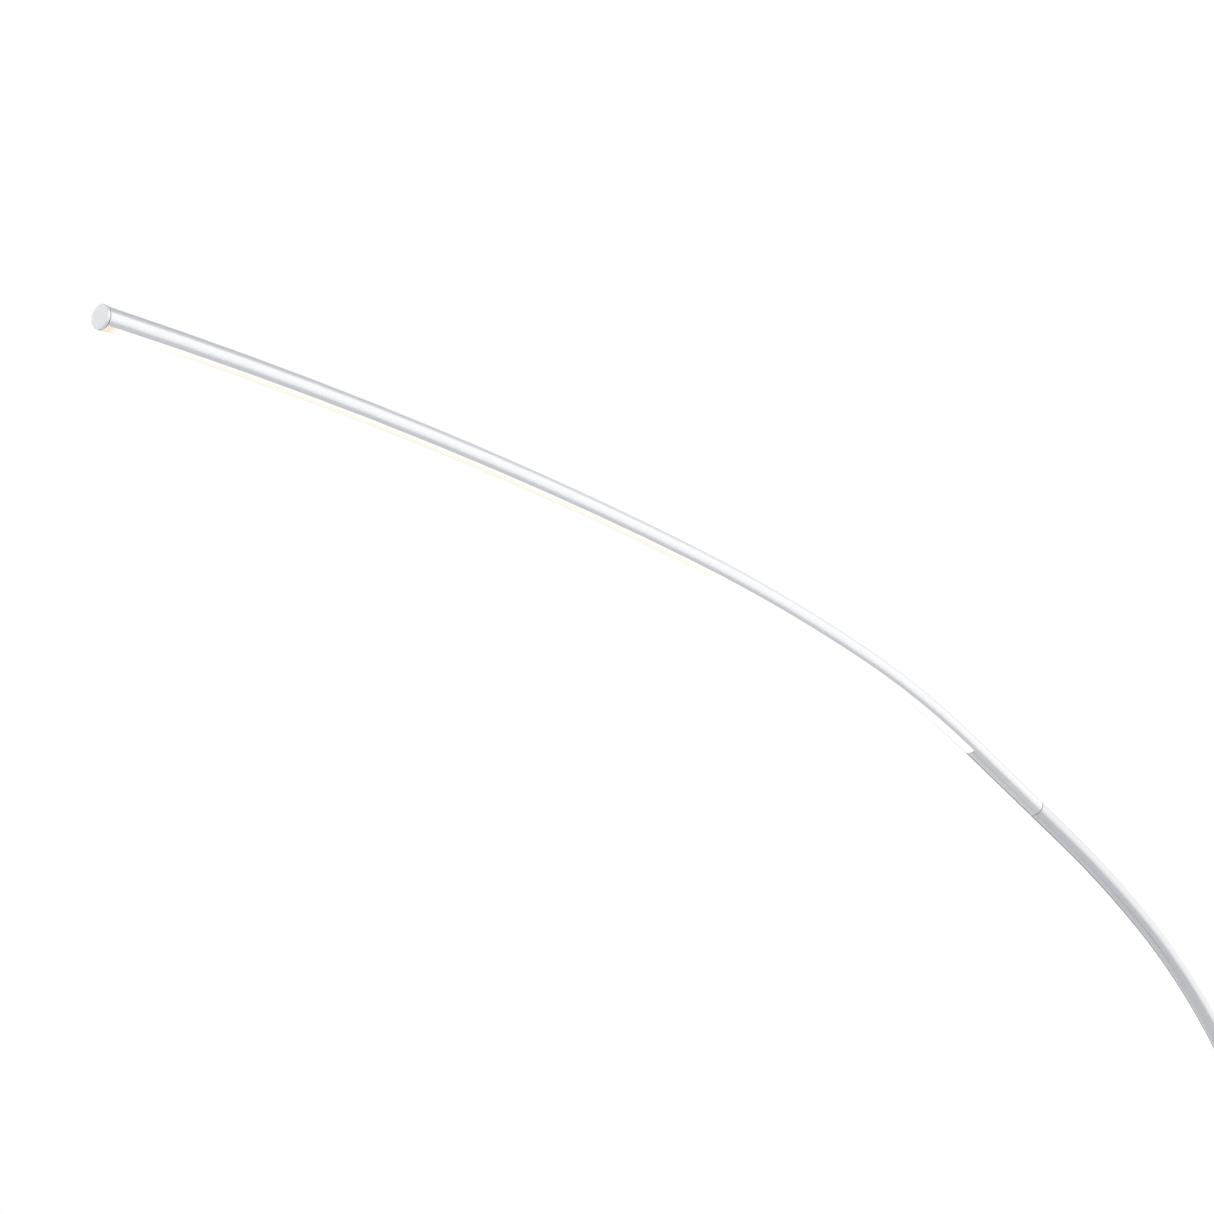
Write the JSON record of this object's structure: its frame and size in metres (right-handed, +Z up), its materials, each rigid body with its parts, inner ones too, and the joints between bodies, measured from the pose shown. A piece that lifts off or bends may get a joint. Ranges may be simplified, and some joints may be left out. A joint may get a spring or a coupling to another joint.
{
  "type": "arc floor lamp",
  "caption": "Slim arc floor lamp: round weighted base with push switch, swivelling bent silver mast and slotted light arm with opal lens.",
  "frame": {"origin": "centre of the base's underside, where it stands on the floor", "axes": "+Z up along the pole, +X towards the tip of the arm, +Y across the plane of the bent mast"},
  "size_m": [1.7196, 0.2548, 1.6703],
  "materials": {
    "satin_aluminium": "satin anodised",
    "silver_paint": "satin silver paint",
    "cap_plastic": "pale grey moulded plastic",
    "opal_lens": "opal diffusing plastic, lit",
    "bare_aluminium": "mill finish",
    "white_circuit": "white solder mask",
    "led_phosphor": "phosphor",
    "white_plastic": "moulded",
    "steel": "zinc plated",
    "black_steel": "black oxide",
    "spring_steel": "bright spring steel",
    "brass": "plain brass",
    "nylon": "natural nylon",
    "cast_iron": "rough cast, primed",
    "zinc_sheet": "zinc plated sheet",
    "pad_foam": "soft closed-cell foam",
    "driver_plastic": "moulded",
    "circuit_board": "green solder mask",
    "transformer": "taped winding",
    "capacitor": "shrink sleeve",
    "foam_tape": "foam tape",
    "terminal_plastic": "moulded",
    "lead_sheath": "white sheath",
    "black_rubber": "moulded",
    "black_plastic": "moulded",
    "button_plastic": "silver moulded plastic"
  },
  "bodies": {
    "base": {"base_weight": "cast_iron", "base_cover": "silver_paint", "upper_bush": "nylon", "lower_bush": "nylon", "stop_pin": "steel", "bottom_plate": "zinc_sheet", "plate_screws": "steel", "base_pad": "pad_foam", "driver_case": "driver_plastic", "driver_lid": "driver_plastic", "driver_board": "circuit_board", "driver_transformer": "transformer", "driver_capacitors": "capacitor", "driver_foam": "foam_tape", "terminal_block": "terminal_plastic", "terminal_screws": "brass", "base_lead": "lead_sheath", "switch_wires": "lead_sheath", "mains_wires": "lead_sheath", "cord_grommet": "black_rubber", "switch_body": "black_plastic", "switch_ring_nut": "silver_paint", "switch_spring": "spring_steel"},
    "mast": {"pole": "silver_paint", "bend_tube": "silver_paint", "lower_spigot": "black_steel", "lower_grub_screws": "black_steel", "upper_spigot": "black_steel", "upper_grub_screws": "black_steel", "led_arm_tube": "satin_aluminium", "lens": "opal_lens", "strip_carrier": "bare_aluminium", "led_strip": "white_circuit", "led_chips": "led_phosphor", "strip_connector": "white_plastic", "end_cap": "cap_plastic", "mast_lead": "lead_sheath", "foot_plug": "steel", "threaded_nipple": "brass", "stop_washer": "steel", "spring_washer": "spring_steel", "nipple_nut": "brass", "pole_collar": "silver_paint", "collar_grub_screw": "black_steel"},
    "button": {"switch_button": "button_plastic"}
  },
  "joints": [
    {"name": "mast_swivel", "type": "hinge", "parent": "base", "child": "mast", "pos_m": [0, 0, 0.0362], "axis": [0, 0, 1], "range_deg": [-155, 155]},
    {"name": "switch_press", "type": "slide", "parent": "base", "child": "button", "axis": [0, 0, -1], "range_m": [0, 0.003], "stiffness_N_per_m": 900, "springref_m": -0.004, "deforming": ["switch_spring"]}
  ]
}
